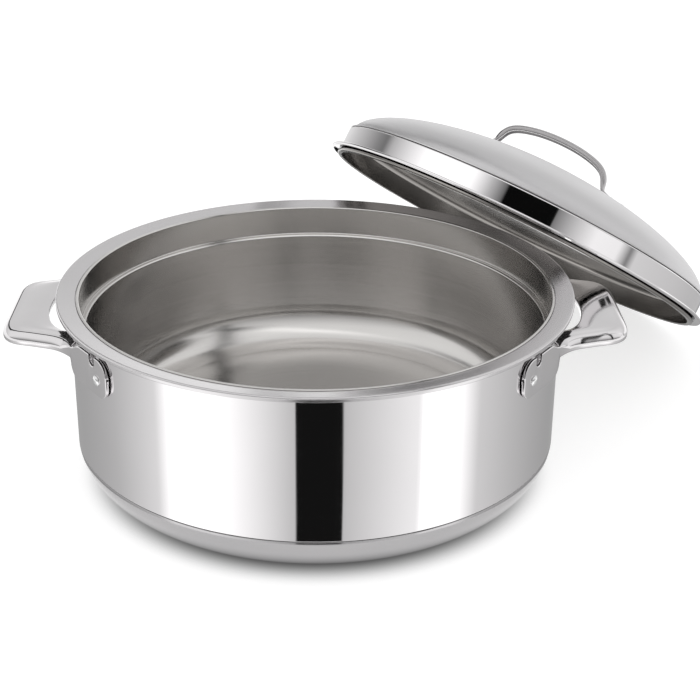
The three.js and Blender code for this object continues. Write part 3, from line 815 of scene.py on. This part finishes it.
# Middle of the strap from one pad's tip to the other's, on a Catmull-Rom curve
def strapLine(v):
    top = domeTop + v["clear"] + v["depth"] / 2
    foot = domeHeightAt(v["padInner"]) + fitGap + v["sheet"] / 2
    reaches = [v["padOuter"] - i * v["padPointGap"] for i in range(v["padPoints"])]
    half = [padPoint(v, reach, v["sheet"] / 2) for reach in reaches]
    for reach, rise in zip(v["reachShares"], v["riseShares"]):
        half.append(Vector((v["padInner"] * reach, foot + (top - foot) * rise)))
    points = half + [Vector((0, top))] + [Vector((-p.x, p.y)) for p in half[::-1]]
    fine = []
    for i in range(len(points) - 1):
        a, b = points[max(i - 1, 0)], points[i]
        c, d = points[i + 1], points[min(i + 2, len(points) - 1)]
        for k in range(v["curveSteps"]):
            t = k / v["curveSteps"]
            fine.append((b * 2 + (c - a) * t + (a * 2 - b * 5 + c * 4 - d) * t ** 2
                         + (b * 3 - a - c * 3 + d) * t ** 3) / 2)
    fine.append(points[-1])
    return smoothed(resample(fine, v["step"]), v["smoothing"])


# The whole section from its right half, first the outside and then back along the inside
def bothHalves(outside, inside):
    back = [(-x, y) for x, y in outside[::-1]] + [(-x, y) for x, y in inside[:-1]]
    return outside[:-1] + back + inside[::-1]


# A share of 0 gives the flat pad, and 1 the pressed strap
def strapSection(v, share):
    half = v["width"] / 2
    sheet = v["sheet"]
    flare = v["flareHeight"]
    archHalf = half - v["flare"]
    hollowHalf = archHalf - v["wall"]
    archLow = flare + v["archFoot"]
    edge = [(half - x, y) for x, y in v["edgeCurve"]]
    flat = edge + [(half - x, sheet - y) for x, y in v["edgeCurve"][::-1]]
    flat += [(archHalf - x, sheet) for x, y in v["valleyCurve"]]
    pressed = edge + [(half - x, flare + y) for x, y in v["flareCurve"]]
    pressed += [(archHalf - x, flare + y) for x, y in v["valleyCurve"]]
    flatInside = []
    pressedInside = []
    for i in range(v["archSteps"] + 1):
        turn = pi / 2 * i / v["archSteps"]
        left = 1 - i / v["archSteps"]
        flat.append((archHalf * left, sheet))
        pressed.append((archHalf * cos(turn), archLow + (v["depth"] - archLow) * sin(turn)))
        flatInside.append((hollowHalf * left, 0))
        pressedInside.append((hollowHalf * cos(turn), (v["depth"] - v["wall"]) * sin(turn)))
    pairs = zip(bothHalves(flat, flatInside), bothHalves(pressed, pressedInside))
    return [Vector(a).lerp(Vector(b), share) for a, b in pairs]


def makeLidHandle(v):
    line = strapLine(v)
    lengths = distances(line)
    verts = []
    for i, place in enumerate(line):
        toEnd = min(lengths[i], lengths[-1] - lengths[i])
        share = eased((toEnd - v["morphStart"]) / v["morphReach"])
        along = (line[min(i + 1, len(line) - 1)] - line[max(i - 1, 0)]).normalized()
        up = Vector((along.y, -along.x))
        depth = v["sheet"] + (v["depth"] - v["sheet"]) * share
        tip = sqrt(max(0.0, 1 - (1 - min(toEnd / v["padTip"], 1)) ** 2))
        wide = max(tip, v["padTipShare"]) * (1 + v["padWiden"] / v["width"] * (1 - share))
        for p in strapSection(v, share):
            spot = place + up * (p.y - depth / 2)
            verts.append(lidFrame @ Vector((spot.x, p.x * wide, spot.y)))
    faces = loftFaces(len(line), len(verts) // len(line))
    addPiece("lid_strap_handle", verts, faces, strapSteel, "lid", ["lid_handle"])


makeLidHandle(strapValues)
print("lid handle made")


# Rivets: one small tree sets a domed rivet on every marked point, along the point's own axis

rivetValues = {
    "segments": 32,
    "rings": 16,
    "pot": {"headRadius": 2.9, "headHeight": 1.5, "shankRadius": 1.4, "grip": 3.6},
    "lid": {"headRadius": 2.3, "headHeight": 1.1, "shankRadius": 1.4, "grip": 3.6},
}


def makeRivetTree(material, v):
    tree = bpy.data.node_groups.new("rivets_on_points", "GeometryNodeTree")
    add = adder(tree)
    tree.interface.new_socket("Geometry", in_out="INPUT", socket_type="NodeSocketGeometry")
    for name in v["pot"]:
        tree.interface.new_socket(name, in_out="INPUT", socket_type="NodeSocketFloat")
    tree.interface.new_socket("Geometry", in_out="OUTPUT", socket_type="NodeSocketGeometry")
    given = add("NodeGroupInput").outputs
    ball = add("GeometryNodeMeshUVSphere", {"Segments": v["segments"], "Rings": v["rings"], "Radius": 1.0})
    place = add("GeometryNodeInputPosition")
    parts = add("ShaderNodeSeparateXYZ", {0: place}).outputs
    above = add("ShaderNodeMath", {0: parts["Z"], 1: 0.0}, operation="MAXIMUM")
    raised = add("ShaderNodeCombineXYZ", {"X": parts["X"], "Y": parts["Y"], "Z": above})
    dome = add("GeometryNodeSetPosition", {"Geometry": ball, "Position": raised})
    size = add("ShaderNodeCombineXYZ", {
        "X": given["headRadius"], "Y": given["headRadius"], "Z": given["headHeight"]})
    head = add("GeometryNodeTransform", {"Geometry": dome, "Scale": size})
    low = add("ShaderNodeMath", {0: given["grip"], 1: -0.5}, operation="MULTIPLY")
    lowPlace = add("ShaderNodeCombineXYZ", {"Z": low})
    shank = add("GeometryNodeMeshCylinder", {
        "Vertices": v["segments"], "Radius": given["shankRadius"], "Depth": given["grip"]})
    stem = add("GeometryNodeTransform", {"Geometry": shank, "Translation": lowPlace})
    whole = add("GeometryNodeJoinGeometry")
    tree.links.new(head.outputs[0], whole.inputs[0])
    tree.links.new(stem.outputs[0], whole.inputs[0])
    axis = add("GeometryNodeInputNamedAttribute", {"Name": "axis"}, data_type="FLOAT_VECTOR")
    turn = add("FunctionNodeAlignRotationToVector", {"Vector": axis}, axis="Z")
    spread = add("GeometryNodeInstanceOnPoints", {
        "Points": given["Geometry"], "Instance": whole, "Rotation": turn})
    real = add("GeometryNodeRealizeInstances", {"Geometry": spread})
    smooth = add("GeometryNodeSetShadeSmooth", {"Geometry": real})
    finished = add("GeometryNodeSetMaterial", {"Geometry": smooth, "Material": material})
    result = add("NodeGroupOutput")
    tree.links.new(finished.outputs[0], result.inputs["Geometry"])
    return tree


def makeRivets(name, seats, values, tree, body, nodes):
    mesh = bpy.data.meshes.new(name + "_points")
    mesh.from_pydata([place * mm for place, _ in seats], [], [])
    layer = mesh.attributes.new("axis", "FLOAT_VECTOR", "POINT")
    for i, (_, axis) in enumerate(seats):
        layer.data[i].vector = axis
    points = linked(name + "_points", mesh)
    modifier = points.modifiers.new("rivets", "NODES")
    modifier.node_group = tree
    for item in tree.interface.items_tree:
        if item.name in values:
            modifier[item.identifier] = values[item.name] * mm
    evaluated = points.evaluated_get(bpy.context.evaluated_depsgraph_get())
    made = bpy.data.meshes.new_from_object(evaluated)
    made.name = name
    bpy.data.objects.remove(points)
    claim(linked(name, made), body, nodes)


def potRivetSeats(v):
    seats = []
    for turn in (v["earAzimuth"], -v["earAzimuth"], 180 - v["earAzimuth"], 180 + v["earAzimuth"]):
        out = Vector((cos(radians(turn)), sin(radians(turn)), 0))
        height = Vector((0, 0, rimHeight - v["rivetDrop"]))
        seats.append((out * (wallRadius + fitGap + v["sheet"]) + height, out))
    return seats


def lidRivetSeats(v):
    seats = []
    fall = padFall(v)
    for side in (-1, 1):
        for along in (-1, 1):
            reach = (v["padInner"] + v["padOuter"]) / 2 + along * v["rivetSpacing"] / 2 * cos(fall)
            seat = padPoint(v, reach, v["sheet"])
            axis = Vector((side * sin(fall), 0, cos(fall)))
            seats.append((lidFrame @ Vector((side * seat.x, 0, seat.y)), lidFrame.to_3x3() @ axis))
    return seats


rivetTree = makeRivetTree(rivetSteel, rivetValues)
rivetNodes = [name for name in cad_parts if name.endswith("_rivet")]
for body, seats in (("pot", potRivetSeats(handleValues)), ("lid", lidRivetSeats(strapValues))):
    nodes = [name for name in rivetNodes if name.startswith("lid_") == (body == "lid")]
    makeRivets(body + "_rivets", seats, rivetValues[body], rivetTree, body, nodes)
    print(body, "rivets made,", len(nodes))


# Stage: pale floor, reflectors and soft light

floorValues = {
    "size": 4000, "level": -0.2, "color": 0.62, "glow": 0.69,
    "paintedShadowInner": 106, "paintedShadowOuter": 137, "paintedShadowLevel": 0.06,
}


# The floor glows only to the camera, to mirrors and through glass. Both its glow and its colour fade round
# the pot's foot by distance from the pot's axis: a painted contact shadow, over the shadow that the light
# casts.
def makeFloor(v):
    reach = v["size"]
    verts = [Vector((x * reach, y * reach, v["level"])) for x, y in ((-1, -1), (1, -1), (1, 1), (-1, 1))]
    material, add = newMaterial("pale_floor")
    coordinates = add("ShaderNodeTexCoord").outputs
    away = add("ShaderNodeVectorMath", {0: coordinates["Object"]}, operation="LENGTH")
    # Painted contact shadow: low near the pot's axis, rising to 1 further out
    paintedShadowFade = add("ShaderNodeMapRange", {
        "Value": away.outputs["Value"],
        "From Min": v["paintedShadowInner"] * mm, "From Max": v["paintedShadowOuter"] * mm,
        "To Min": v["paintedShadowLevel"], "To Max": 1.0,
    }, interpolation_type="SMOOTHERSTEP")
    shade = add("ShaderNodeMath", {0: paintedShadowFade, 1: v["color"]}, operation="MULTIPLY")
    diffuse = add("ShaderNodeBsdfDiffuse", {"Color": shade})
    glow = add("ShaderNodeEmission", {"Color": paintedShadowFade, "Strength": v["glow"]})
    both = add("ShaderNodeAddShader", {0: diffuse, 1: glow})
    path = add("ShaderNodeLightPath").outputs
    seen = path["Is Camera Ray"]
    for ray in ("Is Glossy Ray", "Is Transmission Ray"):
        seen = add("ShaderNodeMath", {0: seen, 1: path[ray]}, operation="MAXIMUM")
    mix = add("ShaderNodeMixShader", {0: seen, 1: diffuse, 2: both})
    add("ShaderNodeOutputMaterial", {"Surface": mix})
    stagePiece("floor", verts, [[0, 1, 2, 3]], material)


# What the cards share: the share of light that polished metal gives back, and the shine of pure white
cardValues = {"metal": 0.74, "white": 1.15}


def cardLevel(shown):
    level = linear("#%02x%02x%02x" % (shown, shown, shown))[0]
    return (cardValues["white"] if shown == 255 else level) / cardValues["metal"]


# A card is a strip between pairs of points, which only mirrors see. It shines on its front, in stripes
# whose levels are listed with their places, and each pair has its own place among them. A card that is
# clear behind lets everything through from its far side.
def makeCard(name, verts, places, v, clearBehind=False):
    low, high = v["span"]

    def along(place):
        return min(max((place - low) / (high - low), 0), 1)

    material, add = newMaterial(name + "_grey")
    coordinates = add("ShaderNodeUVMap", uv_map="across").outputs
    parts = add("ShaderNodeSeparateXYZ", {0: coordinates["UV"]}).outputs
    ramp = add("ShaderNodeValToRGB", {"Fac": parts["X"]})
    setStops(ramp, [(along(place), cardLevel(level)) for place, level in v["levels"]])
    shine = add("ShaderNodeEmission", {"Color": ramp, "Strength": 1.0})
    if clearBehind:
        side = add("ShaderNodeNewGeometry")
        clear = add("ShaderNodeBsdfTransparent")
        shine = add("ShaderNodeMixShader", {0: side.outputs["Backfacing"], 1: shine, 2: clear})
    add("ShaderNodeOutputMaterial", {"Surface": shine})
    faces = [[2 * i, 2 * i + 1, 2 * i + 3, 2 * i + 2] for i in range(len(places) - 1)]
    card = stagePiece(name, verts, faces, material)
    layer = card.data.uv_layers.new(name="across")
    for loop in card.data.loops:
        layer.data[loop.index].uv = (along(places[loop.vertex_index // 2]), 0)
    for ray in ("camera", "diffuse", "shadow", "transmission"):
        setattr(card, "visible_" + ray, False)


# How far right of the camera's axis a point shows, as a share of its distance along that axis
def shownAcross(point):
    offset = point - eye
    return offset.x / (offset.y * cos(cameraPitch) - offset.z * sin(cameraPitch))


# Striped cards on the floor that the upright wall mirrors, one in front and one behind. Places run
# across the wall from its left edge to its right edge, and levels are how bright the wall looks there.
wallCard = {
    "near": 33, "far": 300, "height": 0.4, "backHeight": 0.2, "steps": 240, "edgeAngle": 79.9,
    "span": (-1, 1),
    "levels": [
        (-1, 146), (-0.83, 176), (-0.66, 214), (-0.6, 255), (-0.42, 255), (-0.106, 193), (-0.086, 190),
        (-0.084, 18), (0.112, 18), (0.114, 186), (0.424, 236), (0.449, 255), (0.587, 255), (0.676, 203),
        (0.978, 148),
    ],
}


def makeWallCard(name, height, turned, v):
    verts = []
    shown = []
    for i in range(v["steps"] + 1):
        turn = radians(v["edgeAngle"]) * (2 * i / v["steps"] - 1)
        normal = Vector((sin(turn), -cos(turn)))
        point = normal * wallRadius
        mirrored = (point - eye.xy).normalized().reflect(normal)
        shown.append(shownAcross(Vector((*point, rimHeight / 2))))
        for reach in (v["near"], v["far"]):
            place = point + mirrored * reach
            verts.append(turned @ Vector((place.x, place.y, height)))
    widest = max(shown)
    makeCard(name, verts, [place / widest for place in shown], v)


# Card curved round the lid, which the lid's band mirrors. Places are shares of the picture's width, and
# levels are how bright the band looks there.
bandCard = {
    "near": 90, "low": 0.5, "high": 16, "bandMiddle": 8, "spread": 9, "steps": 160,
    "firstAngle": 196, "lastAngle": 352,
    "span": (0.5, 1.0),
    "levels": [
        (0.5, 205), (0.54, 130), (0.55, 110), (0.56, 175), (0.6, 250), (0.61, 255), (0.67, 255), (0.7, 180),
        (0.72, 95), (0.7215, 8), (0.791, 8), (0.793, 120), (0.83, 205), (0.85, 238), (0.882, 235),
        (0.897, 120), (0.906, 205), (0.96, 192), (1.0, 170),
    ],
}


def makeBandCard(v):
    verts = []
    places = []
    for i in range(v["steps"] + 1):
        turn = radians(v["firstAngle"] + (v["lastAngle"] - v["firstAngle"]) * i / v["steps"])
        out = Vector((cos(turn), sin(turn), 0))
        normal = (lidFrame.to_3x3() @ out).normalized()
        middle = lidFrame @ (out * bandRadius + Vector((0, 0, v["bandMiddle"])))
        zoom = cameraValues["lens"] / cameraValues["sensor"]
        places.append(0.5 - cameraValues["shiftX"] + shownAcross(middle) * zoom)
        for height, side in ((v["low"], -1), (v["high"], 1)):
            point = lidFrame @ (out * bandRadius + Vector((0, 0, height)))
            mirrored = (point - eye).normalized().reflect(normal)
            lift = lidFrame.to_3x3() @ Vector((0, 0, v["spread"] * side))
            verts.append(point + mirrored * v["near"] + lift)
    makeCard("band_card", verts, places, v, clearBehind=True)


# The studio as polished metal mirrors it: a grey panel behind the object with a black border, and white
# softboxes over it. The angle goes from the horizon behind the object, over the top, to the one in front.
# The panel is measured by how far a surface leans to mirror it: to the left, and to the front. The light
# that matt surfaces get is even, and weaker from higher up.
skyValues = {
    "angles": [
        (0, 1.35), (7, 1.32), (13, 1.05), (19, 0.84), (25, 0.78), (31, 0.84), (38, 0.9), (50, 0.95),
        (62, 1.02), (95, 1.05), (130, 1.0), (150, 0.7), (165, 0.35), (180, 0.3),
    ],
    "sideLean": 0.42,
    "frontLean": 0.2,
    "frontEnd": 0.12,  # past this lean to the right the panel reaches further down
    "frontFade": 1.8,
    "border": [(-0.02, 1.0), (0.0, 0.03), (0.09, 0.03), (0.12, 1.0)],
    "borderShift": 0.5,  # so that no place on the border's ramp is below 0
    "even": [(0.0, 1.0), (0.3, 0.95), (0.6, 0.8), (1.0, 0.6)],
}


def makeWorld(v):
    world = bpy.data.worlds.new("studio")
    bpy.context.scene.world = world
    world.use_nodes = True
    world.node_tree.nodes.clear()
    add = adder(world.node_tree)
    coordinates = add("ShaderNodeTexCoord").outputs
    parts = add("ShaderNodeSeparateXYZ", {0: coordinates["Generated"]}).outputs
    rise = add("ShaderNodeMath", {0: parts["Z"], 1: 0.0}, operation="MAXIMUM")
    turn = add("ShaderNodeMath", {0: rise, 1: parts["Y"]}, operation="ARCTAN2")
    share = add("ShaderNodeMath", {0: turn, 1: pi}, operation="DIVIDE")
    panels = add("ShaderNodeValToRGB", {"Fac": share})
    setStops(panels, [(angle / 180, level) for angle, level in v["angles"]])
    outward = (0, cos(cameraPitch), -sin(cameraPitch))
    between = add("ShaderNodeVectorMath", {0: coordinates["Generated"], 1: outward}, operation="SUBTRACT")
    lean = add("ShaderNodeVectorMath", {0: between}, operation="NORMALIZE")
    leanParts = add("ShaderNodeSeparateXYZ", {0: lean}).outputs
    pastSide = add("ShaderNodeMath", {
        0: v["borderShift"] - v["sideLean"], 1: leanParts["X"]}, operation="SUBTRACT")
    toRight = add("ShaderNodeMapRange", {
        "Value": leanParts["X"], "From Min": v["frontEnd"], "From Max": 1.0, "To Max": v["frontFade"]})
    front = add("ShaderNodeMath", {
        0: v["borderShift"] - v["frontLean"], 1: leanParts["Y"]}, operation="SUBTRACT")
    pastFront = add("ShaderNodeMath", {0: front, 1: toRight}, operation="SUBTRACT")
    past = add("ShaderNodeMath", {0: pastSide, 1: pastFront}, operation="MAXIMUM")
    border = add("ShaderNodeValToRGB", {"Fac": past})
    setStops(border, [(place + v["borderShift"], level) for place, level in v["border"]])
    mirrored = add("ShaderNodeMix", {0: 1.0, 6: panels, 7: border}, data_type="RGBA", blend_type="MULTIPLY")
    even = add("ShaderNodeValToRGB", {"Fac": parts["Z"]})
    setStops(even, v["even"])
    path = add("ShaderNodeLightPath").outputs
    light = add("ShaderNodeMix", {
        0: path["Is Glossy Ray"], 6: even, 7: mirrored.outputs[2]}, data_type="RGBA")
    color = add("ShaderNodeMix", {
        0: path["Is Camera Ray"], 6: light.outputs[2], 7: [1, 1, 1, 1]}, data_type="RGBA")
    background = add("ShaderNodeBackground", {"Color": color.outputs[2], "Strength": 1.0})
    add("ShaderNodeOutputWorld", {"Surface": background})


makeFloor(floorValues)
makeWallCard("front_wall_card", wallCard["height"], potFrame, wallCard)
makeWallCard("back_wall_card", wallCard["backHeight"], halfTurn, wallCard)
makeBandCard(bandCard)
makeWorld(skyValues)
bpy.context.scene.view_settings.view_transform = "Standard"
print("stage made")

# Pieces that stay as the frame has them: the insulation and what backs the rivets
for ending, material in (("_foam", insulationFoam), ("_washer", rivetSteel), ("_plate", rivetSteel)):
    for node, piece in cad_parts.items():
        if node.endswith(ending):
            piece.data.materials.clear()
            piece.data.materials.append(material)
